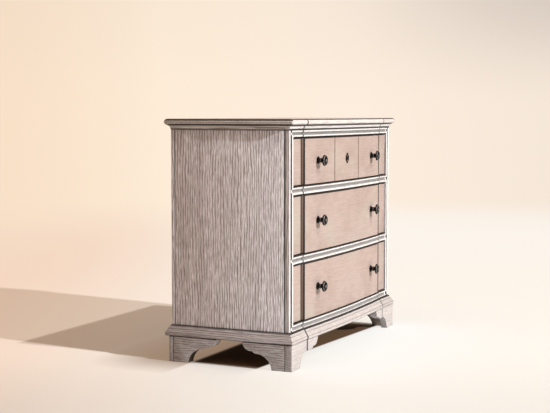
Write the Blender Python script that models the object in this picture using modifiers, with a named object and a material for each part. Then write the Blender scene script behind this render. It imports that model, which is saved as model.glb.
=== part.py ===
"""Bow-fronted chest of three drawers on bracket feet, modelled piece by piece.

Everything hangs from one empty on the floor line of the case, whose local frame has
x across the width, y running back from the flat ends of the front, and z up.
"""
import math

import bmesh
import bpy

# Case, metres
BODY_WIDTH = 1.060
BODY_DEPTH = 0.477
GAP = 0.0003
OVERRUN = 0.004

# Heights of the front, from the floor up
FOOT_HEIGHT = 0.0963
BASE_HEIGHT = 0.038
BOTTOM_RAIL_HEIGHT = 0.028
LOWER_OPENING_HEIGHT = 0.2143
LOWER_RAIL_HEIGHT = 0.031
MIDDLE_OPENING_HEIGHT = 0.2186
UPPER_RAIL_HEIGHT = 0.0313
UPPER_OPENING_HEIGHT = 0.1765
TOP_RAIL_HEIGHT = 0.0276
COVE_HEIGHT = 0.0154
TOP_THICKNESS = 0.023

# Plan of the front: a flat end, a small step forward, then a bow
FLAT_END_WIDTH = 0.122
STEP_OUT = 0.0027
STEP_RUN = 0.0005
BOW_OUT = 0.0107
BOW_STEPS = 16

# Boards of the case
STILE_WIDTH = 0.0356
STILE_DEPTH = 0.018
PANEL_THICKNESS = 0.018
BACK_THICKNESS = 0.014
BOTTOM_THICKNESS = 0.016

# Hollow run round the front frame and along each rail
HOLLOW_WIDTH = 0.013
TOP_HOLLOW_WIDTH = 0.0105
HOLLOW_DEPTH = 0.005
HOLLOW_STEPS = 6
FRAME_FILLET = 0.0105
RAIL_FILLET = 0.009
TOP_RAIL_FILLET = 0.008

# Mouldings
TOP_OVERHANG = 0.0193
NOSE_STEPS = 8
COVE_REACH = 0.010
COVE_LIP = 0.0016
COVE_STEPS = 5
BASE_LIP = 0.004
BASE_REACH = 0.0199
BASE_CURVE_DROP = 0.0255
BASE_QUIRK = 0.0012
BASE_EDGE_ROUND = 0.0018
BASE_CURVE_SHARES = ((0.0, 0.0), (0.13, 0.14), (0.30, 0.33), (0.50, 0.54), (0.72, 0.77), (0.90, 1.0))

# Bracket feet
FOOT_REACH = 0.0172
BACK_FOOT_REACH = 0.003
SIDE_FOOT_THICKNESS = 0.040
FRONT_FOOT_THICKNESS = 0.026
BACK_FOOT_THICKNESS = 0.016
SIDE_FOOT_WIDTH = 0.080
FRONT_FOOT_WIDTH = 0.077
SIDE_FOOT_TOP = 0.196
FRONT_FOOT_TOP = 0.228
FOOT_ARCH_WIDTH = 0.051
FOOT_ARCH_RISE = 0.055
FOOT_TIP_WIDTH = 0.051
FOOT_ARCH_SHARES = (
    (0.0, 0.0), (0.03, 0.19), (0.12, 0.40), (0.28, 0.62), (0.50, 0.81), (0.74, 0.94), (1.0, 1.0),
)
FOOT_TIP_SHARES = (
    (0.0, 0.02), (0.12, 0.09), (0.22, 0.19), (0.29, 0.28), (0.35, 0.21),
    (0.55, 0.24), (0.76, 0.37), (0.91, 0.58), (0.98, 0.80), (1.0, 0.92),
)

# Runners, each a strip with a guide along its outer side
RUNNER_WIDTH = 0.046
RUNNER_THICKNESS = 0.018
GUIDE_RISE = 0.014
GUIDE_CLEARANCE = 0.0015
RUNNING_CLEARANCE = 0.0005

# Drawers
FRONT_GAP = 0.003
FIELD_INSET = 0.132
FIELD_FOOT_INSET = 0.119
END_RECESS = 0.006
FIELD_COVE_STEPS = 4
FRONT_BACK = 0.028
DRAWER_BACK_CLEARANCE = 0.035
SIDE_THICKNESS = 0.012
SIDE_INSET = 0.004
SIDE_DROP = 0.026
DRAWER_BACK_THICKNESS = 0.012
DRAWER_BACK_DROP = 0.008
DRAWER_BOTTOM_THICKNESS = 0.006
DRAWER_BOTTOM_RISE = 0.010
GROOVE_DEPTH = 0.005
PANEL_GROOVE_PLACE_SHARE = 0.2402
PANEL_GROOVE_WIDTH = 0.003
PANEL_GROOVE_DEPTH = 0.002

# Knobs, screws and keyhole plate
KNOB_PLACE_SHARE = 0.5385
KNOB_HEIGHT_SHARES = {"upper": 0.502, "middle": 0.536, "lower": 0.536}
KNOB_PROJECTION = 0.0345
KNOB_RADIUS = 0.0208
KNOB_BOSS_RADIUS = 0.0119
KNOB_RING_RADIUS = 0.0164
KNOB_GROOVE = 0.0018
KNOB_SHOULDER = 0.0072
KNOB_RIM = 0.0016
KNOB_DOME = 0.0025
KNOB_NECK_RADIUS = 0.0084
KNOB_BEAD_RADIUS = 0.0096
ROSETTE_RADIUS = 0.0142
ROSETTE_THICKNESS = 0.003
ROUND_STEPS = 20
SCREW_RADIUS = 0.002
SCREW_CLEARANCE = 0.0003
SCREW_BITE = 0.009
SCREW_HEAD_RADIUS = 0.0042
SCREW_HEAD_THICKNESS = 0.0022
SCREW_STEPS = 10
PLATE_HEIGHT = 0.041
PLATE_WIDTH = 0.037
PLATE_THICKNESS = 0.0018
PLATE_SHARES = (
    (0.0, 1.0), (0.32, 0.94), (0.42, 0.80), (0.32, 0.62),
    (0.72, 0.50), (0.86, 0.34), (0.72, 0.18), (1.0, 0.0),
)
KEYHOLE_RADIUS = 0.0028
KEYHOLE_SLOT_WIDTH = 0.0022
KEYHOLE_SLOT_DROP = 0.009

# Levels and faces that follow from the sizes above
BASE_TOP = FOOT_HEIGHT + BASE_HEIGHT
LOWER_SILL = BASE_TOP + BOTTOM_RAIL_HEIGHT
LOWER_HEAD = LOWER_SILL + LOWER_OPENING_HEIGHT
MIDDLE_SILL = LOWER_HEAD + LOWER_RAIL_HEIGHT
MIDDLE_HEAD = MIDDLE_SILL + MIDDLE_OPENING_HEIGHT
UPPER_SILL = MIDDLE_HEAD + UPPER_RAIL_HEIGHT
UPPER_HEAD = UPPER_SILL + UPPER_OPENING_HEIGHT
COVE_BOTTOM = UPPER_HEAD + TOP_RAIL_HEIGHT
TOP_UNDERSIDE = COVE_BOTTOM + COVE_HEIGHT
HALF_WIDTH = BODY_WIDTH / 2
BREAK_X = HALF_WIDTH - FLAT_END_WIDTH
FIELD_X = HALF_WIDTH - FIELD_INSET
FIELD_FOOT_X = HALF_WIDTH - FIELD_FOOT_INSET
KNOB_X = HALF_WIDTH * KNOB_PLACE_SHARE
PANEL_GROOVE_X = HALF_WIDTH * PANEL_GROOVE_PLACE_SHARE
OPENING_X = HALF_WIDTH - STILE_WIDTH
PANEL_INSIDE_X = HALF_WIDTH - PANEL_THICKNESS
BACK_INSIDE_Y = BODY_DEPTH - BACK_THICKNESS
DRAWER_LENGTH = BACK_INSIDE_Y - DRAWER_BACK_CLEARANCE - FRONT_BACK
FRAME_HOLLOW_X = HALF_WIDTH - FRAME_FILLET - HOLLOW_WIDTH / 2
TOP_HOLLOW_Z = UPPER_HEAD + TOP_RAIL_FILLET + TOP_HOLLOW_WIDTH / 2
BOTTOM_HOLLOW_Z = LOWER_SILL - RAIL_FILLET - HOLLOW_WIDTH / 2
DRAWER_SIDE_X = OPENING_X - SIDE_INSET

DRAWERS = (
    ("upper", UPPER_SILL, UPPER_OPENING_HEIGHT),
    ("middle", MIDDLE_SILL, MIDDLE_OPENING_HEIGHT),
    ("lower", LOWER_SILL, LOWER_OPENING_HEIGHT),
)
SIDES = (("left", -1), ("right", 1))

# Colours, roughness and metallic values
WASHED_WOOD = ((0.66, 0.60, 0.56), 0.62, 0.0)
FIELD_WOOD = ((0.68, 0.53, 0.45), 0.58, 0.0)
INSIDE_WOOD = ((0.62, 0.48, 0.34), 0.70, 0.0)
DARK_BRONZE = ((0.022, 0.019, 0.017), 0.38, 0.9)
STEEL = ((0.45, 0.44, 0.42), 0.35, 1.0)


def bow(x):
    """Distance that the case front stands forward of its flat ends at x."""
    if abs(x) > BREAK_X:
        return 0.0
    return STEP_OUT + BOW_OUT * (1 - (x / BREAK_X) ** 2)


def front_line_y():
    """Y of the flat ends, with the origin midway from knob faces to moulding back."""
    ahead = bow(KNOB_X) + GAP + KNOB_PROJECTION
    return ahead - (BODY_DEPTH + BASE_REACH + ahead) / 2


def steps_between(start, end, count):
    """Evenly spaced values from start to end, both included."""
    return [start + (end - start) * i / count for i in range(count + 1)]


def bow_places():
    """X of the stations along the stepped and bowed front, left to right."""
    ends = BREAK_X + STEP_RUN
    return [-ends] + steps_between(-BREAK_X, BREAK_X, BOW_STEPS) + [ends]


def new_collection(name):
    collection = bpy.data.collections.new(name)
    bpy.context.scene.collection.children.link(collection)
    return collection


def empty_at(name, parent, location):
    """Empty that carries pieces, as a bench jig would."""
    holder = bpy.data.objects.new(name, None)
    parts.objects.link(holder)
    holder.parent = parent
    holder.location = location
    return holder


def finish(piece, look):
    """The piece's own material."""
    colour, roughness, metallic = look
    material = bpy.data.materials.new(piece.name + "_finish")
    material.use_nodes = True
    shader = material.node_tree.nodes["Principled BSDF"]
    shader.inputs["Base Color"].default_value = (*colour, 1.0)
    shader.inputs["Roughness"].default_value = roughness
    shader.inputs["Metallic"].default_value = metallic
    material.diffuse_color = (*colour, 1.0)
    piece.data.materials.append(material)


def object_from(name, mesh, parent, look):
    """Object made from a bmesh, in the parts collection, or a cutter without a look."""
    bmesh.ops.recalc_face_normals(mesh, faces=mesh.faces)
    data = bpy.data.meshes.new(name)
    mesh.to_mesh(data)
    mesh.free()
    piece = bpy.data.objects.new(name, data)
    piece.parent = parent
    if look is None:
        cutters.objects.link(piece)
        piece.hide_render = True
        piece.display_type = "WIRE"
    else:
        parts.objects.link(piece)
        finish(piece, look)
    return piece


def box(name, low, high, parent, look):
    """Board between two corners, with its origin at its middle."""
    size = [b - a for a, b in zip(low, high)]
    mesh = bmesh.new()
    bmesh.ops.create_cube(mesh, size=1.0)
    bmesh.ops.scale(mesh, verts=mesh.verts, vec=size)
    piece = object_from(name, mesh, parent, look)
    piece.location = [(a + b) / 2 for a, b in zip(low, high)]
    return piece


def drawn_through(name, rings, parent, look):
    """Section filled at the first ring, then extruded through the others."""
    mesh = bmesh.new()
    face = mesh.faces.new([mesh.verts.new(place) for place in rings[0]])
    for ring in rings[1:]:
        pulled = bmesh.ops.extrude_face_region(mesh, geom=[face, *face.edges])["geom"]
        face = next(item for item in pulled if isinstance(item, bmesh.types.BMFace))
        for vert, place in zip(face.verts, ring):
            vert.co = place
    return object_from(name, mesh, parent, look)


def combine(piece, tool, operation):
    """Live Boolean of a piece with a tool body."""
    modifier = piece.modifiers.new(tool.name, "BOOLEAN")
    modifier.operation = operation
    modifier.solver = "EXACT"
    modifier.object = tool


def turned(name, profile, steps, parent, look):
    """Shape turned about its own z axis from a profile of radius and height."""
    data = bpy.data.meshes.new(name)
    data.from_pydata([(r, 0, h) for r, h in profile], [(i, i + 1) for i in range(len(profile) - 1)], [])
    piece = bpy.data.objects.new(name, data)
    parts.objects.link(piece)
    piece.parent = parent
    screw = piece.modifiers.new("turning", "SCREW")
    screw.steps = steps
    screw.render_steps = steps
    screw.use_merge_vertices = True
    screw.merge_threshold = 0.0001
    finish(piece, look)
    return piece


# Case boards


def rail_section(low, high, hollow_z, hollow_width):
    """Points (out, z, share of the bow) of a rail with a hollow along its face."""
    face = [(0.0, low)]
    for turn in steps_between(0.0, math.pi, HOLLOW_STEPS):
        face.append((-HOLLOW_DEPTH * math.sin(turn), hollow_z - hollow_width / 2 * math.cos(turn)))
    face.append((0.0, high))
    back = [(-STILE_DEPTH, high), (-STILE_DEPTH, low)]
    return [(out, z, 1) for out, z in face] + [(out, z, 0) for out, z in back]


def make_rail(name, low, high, hollow_z, hollow_width):
    """Cross rail between the stiles, bowed in front and straight behind."""
    section = rail_section(low, high, hollow_z, hollow_width)
    end = OPENING_X - GAP
    rings = []
    for x in [-end] + bow_places() + [end]:
        rings.append([(x, -out - bow(x) * share, z) for out, z, share in section])
    drawn_through(name, rings, case, WASHED_WOOD)


def make_rails():
    make_rail("top_rail", UPPER_HEAD, TOP_UNDERSIDE - GAP, TOP_HOLLOW_Z, TOP_HOLLOW_WIDTH)
    make_rail("upper_rail", MIDDLE_HEAD, UPPER_SILL, MIDDLE_HEAD + UPPER_RAIL_HEIGHT / 2, HOLLOW_WIDTH)
    make_rail("lower_rail", LOWER_HEAD, MIDDLE_SILL, LOWER_HEAD + LOWER_RAIL_HEIGHT / 2, HOLLOW_WIDTH)
    make_rail("bottom_rail", FOOT_HEIGHT, LOWER_SILL, BOTTOM_HOLLOW_Z, HOLLOW_WIDTH)


def hollow_section():
    """Points (across, out) of the tool that cuts a hollow, a little proud of the face."""
    points = [(-HOLLOW_WIDTH / 2, OVERRUN), (HOLLOW_WIDTH / 2, OVERRUN)]
    for turn in steps_between(0.0, math.pi, HOLLOW_STEPS):
        points.append((HOLLOW_WIDTH / 2 * math.cos(turn), -HOLLOW_DEPTH * math.sin(turn)))
    return points


def frame_hollow_cutter(side_name, side):
    """Hollow down one stile, mitred into the hollows of the top and bottom rails."""
    section = hollow_section()
    inner = side * (OPENING_X - OVERRUN)
    centre = side * FRAME_HOLLOW_X
    top = TOP_HOLLOW_Z
    bottom = BOTTOM_HOLLOW_Z
    narrow = TOP_HOLLOW_WIDTH / HOLLOW_WIDTH
    rings = [
        [(inner, -out, top + across * narrow) for across, out in section],
        [(centre + side * across, -out, top + across * narrow) for across, out in section],
        [(centre + side * across, -out, bottom - across) for across, out in section],
        [(inner, -out, bottom - across) for across, out in section],
    ]
    return drawn_through("hollow_" + side_name, rings, case, None)


def rail_hollow_cutter(name, side, height):
    """Hollow of a middle rail, run on into the stile's own hollow."""
    section = hollow_section()
    rings = []
    for x in (side * FRAME_HOLLOW_X, side * (OPENING_X - OVERRUN)):
        rings.append([(x, -out, height + across) for across, out in section])
    return drawn_through(name, rings, case, None)


def make_stile(side_name, side):
    inner = side * OPENING_X
    outer = side * HALF_WIDTH
    low = (min(inner, outer), 0.0, FOOT_HEIGHT)
    high = (max(inner, outer), STILE_DEPTH, TOP_UNDERSIDE - GAP)
    stile = box("front_stile_" + side_name, low, high, case, WASHED_WOOD)
    combine(stile, frame_hollow_cutter(side_name, side), "DIFFERENCE")
    for rail, height in (
        ("upper", MIDDLE_HEAD + UPPER_RAIL_HEIGHT / 2),
        ("lower", LOWER_HEAD + LOWER_RAIL_HEIGHT / 2),
    ):
        cutter = rail_hollow_cutter("hollow_" + rail + "_" + side_name, side, height)
        combine(stile, cutter, "DIFFERENCE")


def make_side_panel(side_name, side):
    inner = side * PANEL_INSIDE_X
    outer = side * HALF_WIDTH
    low = (min(inner, outer), STILE_DEPTH + GAP, FOOT_HEIGHT)
    high = (max(inner, outer), BACK_INSIDE_Y - GAP, TOP_UNDERSIDE - GAP)
    box("side_panel_" + side_name, low, high, case, WASHED_WOOD)


def make_back_and_bottom():
    low = (-HALF_WIDTH, BACK_INSIDE_Y, FOOT_HEIGHT)
    high = (HALF_WIDTH, BODY_DEPTH, TOP_UNDERSIDE - GAP)
    box("back_panel", low, high, case, WASHED_WOOD)
    outer = PANEL_INSIDE_X - GAP
    guide = DRAWER_SIDE_X + GUIDE_CLEARANCE
    half = [(guide, LOWER_SILL), (guide, LOWER_SILL + GUIDE_RISE), (outer, LOWER_SILL + GUIDE_RISE)]
    half.append((outer, LOWER_SILL - BOTTOM_THICKNESS))
    shape = half + [(-x, z) for x, z in reversed(half)]
    rings = []
    for y in (STILE_DEPTH + GAP, BACK_INSIDE_Y - GAP):
        rings.append([(x, y, z) for x, z in shape])
    drawn_through("bottom_board", rings, case, INSIDE_WOOD)


def make_runner(level, side_name, side, sill):
    """L-shaped runner: a strip for the drawer's side to slide on, and its guide."""
    outer = PANEL_INSIDE_X - GAP
    guide = DRAWER_SIDE_X + GUIDE_CLEARANCE
    inner = outer - RUNNER_WIDTH
    low = sill - RUNNER_THICKNESS
    shape = [
        (inner, low),
        (outer, low),
        (outer, sill + GUIDE_RISE),
        (guide, sill + GUIDE_RISE),
        (guide, sill),
        (inner, sill),
    ]
    rings = []
    for y in (STILE_DEPTH + GAP, BACK_INSIDE_Y - GAP):
        rings.append([(side * x, y, z) for x, z in shape])
    drawn_through("runner_" + level + "_" + side_name, rings, case, INSIDE_WOOD)


# Top and mouldings


def plan_ring(out, z):
    """Outline round the case at a distance outside its faces."""
    x = HALF_WIDTH + out
    ring = [(-x, BODY_DEPTH + out, z), (-x, -out, z)]
    ring += [(place, -out - bow(place), z) for place in bow_places()]
    ring += [(x, -out, z), (x, BODY_DEPTH + out, z)]
    return ring


def make_top_board():
    """Top with a full round nosing on all four sides."""
    radius = TOP_THICKNESS / 2
    middle = TOP_UNDERSIDE + radius
    rings = []
    for turn in steps_between(-math.pi / 2, math.pi / 2, NOSE_STEPS):
        out = TOP_OVERHANG - radius * (1 - math.cos(turn))
        rings.append(plan_ring(out, middle + radius * math.sin(turn)))
    drawn_through("top_board", rings, case, WASHED_WOOD)


def cove_section():
    """Points (out, z) of the cove under the top."""
    bottom = COVE_BOTTOM
    top = TOP_UNDERSIDE - GAP
    points = [(GAP, bottom), (COVE_LIP, bottom)]
    for turn in steps_between(0.0, math.pi / 2, COVE_STEPS):
        out = COVE_REACH - (COVE_REACH - COVE_LIP) * math.cos(turn)
        rise = (top - COVE_LIP - bottom - COVE_LIP) * math.sin(turn)
        points.append((out, bottom + COVE_LIP + rise))
    return points + [(COVE_REACH, top), (GAP, top)]


def base_section():
    """Points (out, z) of the base moulding: an ogee down to a quirk and a square edge."""
    bottom = FOOT_HEIGHT
    points = [(GAP, BASE_TOP)]
    for out_share, drop_share in BASE_CURVE_SHARES:
        out = BASE_LIP + (BASE_REACH - BASE_LIP) * out_share
        points.append((out, BASE_TOP - BASE_CURVE_DROP * drop_share))
    points.append((BASE_REACH, BASE_TOP - BASE_CURVE_DROP - BASE_QUIRK))
    points.append((BASE_REACH, bottom + BASE_EDGE_ROUND))
    points.append((BASE_REACH - BASE_EDGE_ROUND, bottom))
    return points + [(GAP, bottom)]


def make_front_moulding(name, section):
    """Moulding along the front, mitred at its ends, following the step and the bow."""
    end = HALF_WIDTH - GAP
    rings = [[(-end - out, -out, z) for out, z in section]]
    for x in bow_places():
        rings.append([(x, -out - bow(x), z) for out, z in section])
    rings.append([(end + out, -out, z) for out, z in section])
    drawn_through(name, rings, case, WASHED_WOOD)


def make_back_moulding(name, section):
    end = HALF_WIDTH - GAP
    rings = []
    for side in (-1, 1):
        rings.append([(side * (end + out), BODY_DEPTH + out, z) for out, z in section])
    drawn_through(name, rings, case, WASHED_WOOD)


def make_side_moulding(name, section, side):
    rings = [
        [(side * (HALF_WIDTH + out), -out + GAP, z) for out, z in section],
        [(side * (HALF_WIDTH + out), BODY_DEPTH + out - GAP, z) for out, z in section],
    ]
    drawn_through(name, rings, case, WASHED_WOOD)


def make_mouldings():
    for name, section in (("cove", cove_section()), ("base_moulding", base_section())):
        make_front_moulding(name + "_front", section)
        make_back_moulding(name + "_back", section)
        for side_name, side in SIDES:
            make_side_moulding(name + "_" + side_name, section, side)


# Bracket feet


def foot_outline(width, top_width):
    """Points (along, z) of a bracket: plain foot, hollow arch, nick, ovolo tip."""
    height = FOOT_HEIGHT - GAP
    start = -FOOT_REACH - OVERRUN
    points = [(start, -OVERRUN), (width, -OVERRUN)]
    for along, rise in FOOT_ARCH_SHARES:
        points.append((width + FOOT_ARCH_WIDTH * along, FOOT_ARCH_RISE * rise))
    tip = top_width - FOOT_TIP_WIDTH
    for along, rise in FOOT_TIP_SHARES:
        points.append((tip + FOOT_TIP_WIDTH * along, FOOT_ARCH_RISE + (height - FOOT_ARCH_RISE) * rise))
    return points + [(top_width, height + OVERRUN), (start, height + OVERRUN)]


def foot_section(reach, thickness):
    """Points (out, z) of the plain board that a bracket is sawn from."""
    height = FOOT_HEIGHT - GAP
    return [(reach - thickness, 0.0), (reach, 0.0), (reach, height), (reach - thickness, height)]


def saw_to_shape(board, saw_rings):
    saw = drawn_through(board.name + "_saw", saw_rings, case, None)
    combine(board, saw, "INTERSECT")


def saw_across(board, side, ends):
    """Saw a front or back bracket to its outline, between two depths."""
    face = HALF_WIDTH + FOOT_REACH
    shape = foot_outline(FRONT_FOOT_WIDTH, FRONT_FOOT_TOP)
    saw_to_shape(board, [[(side * (face - along), y, z) for along, z in shape] for y in ends])


def make_front_foot(side_name, side):
    """Front bracket, running out to the side face and following the step and the bow."""
    section = foot_section(FOOT_REACH, FRONT_FOOT_THICKNESS)
    inner_end = HALF_WIDTH + FOOT_REACH - FRONT_FOOT_TOP - OVERRUN
    places = [HALF_WIDTH + FOOT_REACH] + [x for x in reversed(bow_places()) if x > inner_end]
    rings = []
    for x in places + [inner_end]:
        ring = []
        for out, z in section:
            share = 1 if out == FOOT_REACH else 0
            ring.append((side * x, -out - bow(x) * share, z))
        rings.append(ring)
    board = drawn_through("bracket_front_" + side_name, rings, case, WASHED_WOOD)
    saw_across(board, side, (-FRONT_FOOT_THICKNESS - OVERRUN, FRONT_FOOT_THICKNESS + OVERRUN))


def make_back_foot(side_name, side):
    """Back bracket, running out to the side face."""
    section = foot_section(BACK_FOOT_REACH, BACK_FOOT_THICKNESS)
    inner_end = HALF_WIDTH + FOOT_REACH - FRONT_FOOT_TOP - OVERRUN
    rings = []
    for x in (HALF_WIDTH + FOOT_REACH, inner_end):
        rings.append([(side * x, BODY_DEPTH + out, z) for out, z in section])
    board = drawn_through("bracket_back_" + side_name, rings, case, WASHED_WOOD)
    reach = BACK_FOOT_THICKNESS + OVERRUN
    saw_across(board, side, (BODY_DEPTH - reach, BODY_DEPTH + reach))


def make_side_foot(side_name, side, at_front):
    """Side bracket, butted against the inner face of the front or back bracket."""
    section = foot_section(FOOT_REACH, SIDE_FOOT_THICKNESS)
    face = HALF_WIDTH + FOOT_REACH
    if at_front:
        name = "bracket_" + side_name + "_front"
        corner = -FOOT_REACH
        turn = 1
        butt = FRONT_FOOT_THICKNESS + GAP
    else:
        name = "bracket_" + side_name + "_back"
        corner = BODY_DEPTH + BACK_FOOT_REACH
        turn = -1
        butt = BACK_FOOT_THICKNESS + GAP
    rings = []
    for along in (butt, SIDE_FOOT_TOP + OVERRUN):
        rings.append([(side * (HALF_WIDTH + out), corner + turn * along, z) for out, z in section])
    board = drawn_through(name, rings, case, WASHED_WOOD)
    shape = foot_outline(SIDE_FOOT_WIDTH, SIDE_FOOT_TOP)
    saw_rings = []
    for x in (face + OVERRUN, face - SIDE_FOOT_THICKNESS - OVERRUN):
        saw_rings.append([(side * x, corner + turn * along, z) for along, z in shape])
    saw_to_shape(board, saw_rings)


# Drawers, each in its own frame: the sill of its opening is z = 0


def front_face_places(height_name):
    """Points (x, out) along a drawer front from left to right."""
    end = OPENING_X - FRONT_GAP
    half = [(0.0, bow(0.0))]
    places = [x for x in bow_places() if 0 < x < FIELD_X]
    if height_name == "upper":
        groove = PANEL_GROOVE_WIDTH / 2
        grooved = [PANEL_GROOVE_X - groove, PANEL_GROOVE_X, PANEL_GROOVE_X + groove]
        places = [x for x in places if abs(x - PANEL_GROOVE_X) > 2 * groove] + grooved
    for x in sorted(places):
        sunk = PANEL_GROOVE_DEPTH if height_name == "upper" and x == PANEL_GROOVE_X else 0.0
        half.append((x, bow(x) - sunk))
    fall = bow(FIELD_X) + END_RECESS
    for turn in steps_between(0.0, math.pi / 2, FIELD_COVE_STEPS):
        x = FIELD_FOOT_X - (FIELD_FOOT_X - FIELD_X) * math.cos(turn)
        half.append((x, bow(FIELD_X) - fall * math.sin(turn)))
    half.append((end, -END_RECESS))
    return [(-x, out) for x, out in reversed(half[1:])] + half


def make_drawer_front(level, opening, holder):
    rings = []
    low = FRONT_GAP
    high = opening - FRONT_GAP
    for x, out in front_face_places(level):
        rings.append([(x, -out, low), (x, -out, high), (x, FRONT_BACK, high), (x, FRONT_BACK, low)])
    front = drawn_through("drawer_" + level + "_front", rings, holder, FIELD_WOOD)
    groove_low = DRAWER_BOTTOM_RISE
    groove_high = groove_low + DRAWER_BOTTOM_THICKNESS + 2 * GAP
    groove_x = DRAWER_SIDE_X - SIDE_THICKNESS + GROOVE_DEPTH
    low_corner = (-groove_x, FRONT_BACK - GROOVE_DEPTH, groove_low)
    high_corner = (groove_x, FRONT_BACK + OVERRUN, groove_high)
    groove = box("front_groove_" + level, low_corner, high_corner, holder, None)
    combine(front, groove, "DIFFERENCE")
    for side_name, side in SIDES:
        combine(front, screw_hole(level, side_name, side, opening, holder), "DIFFERENCE")


def square_to_bow(piece, level, side, opening):
    """Seat a turned piece on the field at a knob's place, its z axis straight out of it."""
    slope = 2 * BOW_OUT * KNOB_X / BREAK_X ** 2
    piece.rotation_euler = (math.pi / 2, 0.0, side * math.atan(slope))
    piece.location = (side * KNOB_X, -bow(KNOB_X) - GAP, opening * KNOB_HEIGHT_SHARES[level])


def screw_hole(level, side_name, side, opening, holder):
    """Round tool for the hole of a knob's screw."""
    mesh = bmesh.new()
    radius = SCREW_RADIUS + SCREW_CLEARANCE
    depth = 2 * (FRONT_BACK + bow(KNOB_X) + OVERRUN)
    bmesh.ops.create_cone(
        mesh, cap_ends=True, segments=SCREW_STEPS, radius1=radius, radius2=radius, depth=depth
    )
    hole = object_from("screw_hole_" + level + "_" + side_name, mesh, holder, None)
    square_to_bow(hole, level, side, opening)
    return hole


def make_drawer_side(level, side_name, side, opening, holder):
    """Side board with the groove for the bottom along its inner face."""
    outer = DRAWER_SIDE_X
    inner = outer - SIDE_THICKNESS
    low = RUNNING_CLEARANCE
    high = opening - SIDE_DROP
    groove_low = DRAWER_BOTTOM_RISE
    groove_high = groove_low + DRAWER_BOTTOM_THICKNESS + 2 * GAP
    shape = [
        (outer, low),
        (outer, high),
        (inner, high),
        (inner, groove_high),
        (inner + GROOVE_DEPTH, groove_high),
        (inner + GROOVE_DEPTH, groove_low),
        (inner, groove_low),
        (inner, low),
    ]
    rings = []
    for y in (FRONT_BACK + GAP, FRONT_BACK + DRAWER_LENGTH):
        rings.append([(side * x, y, z) for x, z in shape])
    drawn_through("drawer_" + level + "_side_" + side_name, rings, holder, INSIDE_WOOD)


def make_drawer_back_and_bottom(level, opening, holder):
    half = DRAWER_SIDE_X - SIDE_THICKNESS
    end = FRONT_BACK + DRAWER_LENGTH
    bottom_low = DRAWER_BOTTOM_RISE + GAP
    bottom_high = bottom_low + DRAWER_BOTTOM_THICKNESS
    low = (-half + GAP, end - DRAWER_BACK_THICKNESS, bottom_high + GAP)
    high = (half - GAP, end, opening - SIDE_DROP - DRAWER_BACK_DROP)
    box("drawer_" + level + "_back", low, high, holder, INSIDE_WOOD)
    reach = half + GROOVE_DEPTH - GAP
    low = (-reach, FRONT_BACK - GROOVE_DEPTH + GAP, bottom_low)
    high = (reach, end, bottom_high)
    box("drawer_" + level + "_bottom", low, high, holder, INSIDE_WOOD)


def knob_profile():
    """Radius and height, from the crown down the outside to the foot and up the bore."""
    crown = KNOB_PROJECTION
    rim_top = crown - KNOB_SHOULDER
    rim_low = rim_top - KNOB_RIM
    neck_top = rim_low - 2 * KNOB_DOME
    neck_low = ROSETTE_THICKNESS + KNOB_DOME
    neck_middle = (neck_top + neck_low) / 2
    bore = SCREW_RADIUS + SCREW_CLEARANCE
    return [
        (0.0, crown),
        (KNOB_BOSS_RADIUS / 2, crown - KNOB_GROOVE / 4),
        (KNOB_BOSS_RADIUS, crown - KNOB_GROOVE),
        ((KNOB_BOSS_RADIUS + KNOB_RING_RADIUS) / 2, crown - 2 * KNOB_GROOVE),
        (KNOB_RING_RADIUS, crown - KNOB_GROOVE),
        ((KNOB_RING_RADIUS + KNOB_RADIUS) / 2, rim_top + KNOB_SHOULDER / 3),
        (KNOB_RADIUS, rim_top),
        (KNOB_RADIUS, rim_low),
        (KNOB_RADIUS - KNOB_DOME, rim_low - KNOB_DOME / 2),
        (KNOB_BEAD_RADIUS, neck_top),
        (KNOB_NECK_RADIUS, neck_top - KNOB_DOME),
        (KNOB_NECK_RADIUS, neck_middle + KNOB_DOME),
        (KNOB_BEAD_RADIUS, neck_middle),
        (KNOB_NECK_RADIUS, neck_middle - KNOB_DOME),
        (KNOB_NECK_RADIUS, neck_low + KNOB_DOME),
        (KNOB_BEAD_RADIUS, neck_low),
        (ROSETTE_RADIUS - KNOB_DOME, ROSETTE_THICKNESS),
        (ROSETTE_RADIUS, ROSETTE_THICKNESS / 2),
        (ROSETTE_RADIUS, 0.0),
        (bore, 0.0),
        (bore, SCREW_BITE),
        (0.0, SCREW_BITE),
    ]


def make_knob(level, side_name, side, opening, holder):
    """Turned knob whose axis points out of the drawer front."""
    name = "drawer_" + level + "_knob_" + side_name
    knob = turned(name, knob_profile(), ROUND_STEPS, holder, DARK_BRONZE)
    square_to_bow(knob, level, side, opening)


def make_knob_screw(level, side_name, side, opening, holder):
    """Machine screw up the bore of a knob, its head against the inside of the front."""
    tip = SCREW_BITE - 2 * GAP
    seat = -bow(KNOB_X) - FRONT_BACK - 2 * GAP
    profile = [
        (0.0, tip),
        (SCREW_RADIUS, tip),
        (SCREW_RADIUS, seat),
        (SCREW_HEAD_RADIUS, seat),
        (SCREW_HEAD_RADIUS, seat - SCREW_HEAD_THICKNESS / 2),
        (SCREW_HEAD_RADIUS / 2, seat - SCREW_HEAD_THICKNESS),
        (0.0, seat - SCREW_HEAD_THICKNESS),
    ]
    name = "drawer_" + level + "_screw_" + side_name
    screw = turned(name, profile, SCREW_STEPS, holder, STEEL)
    square_to_bow(screw, level, side, opening)


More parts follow.
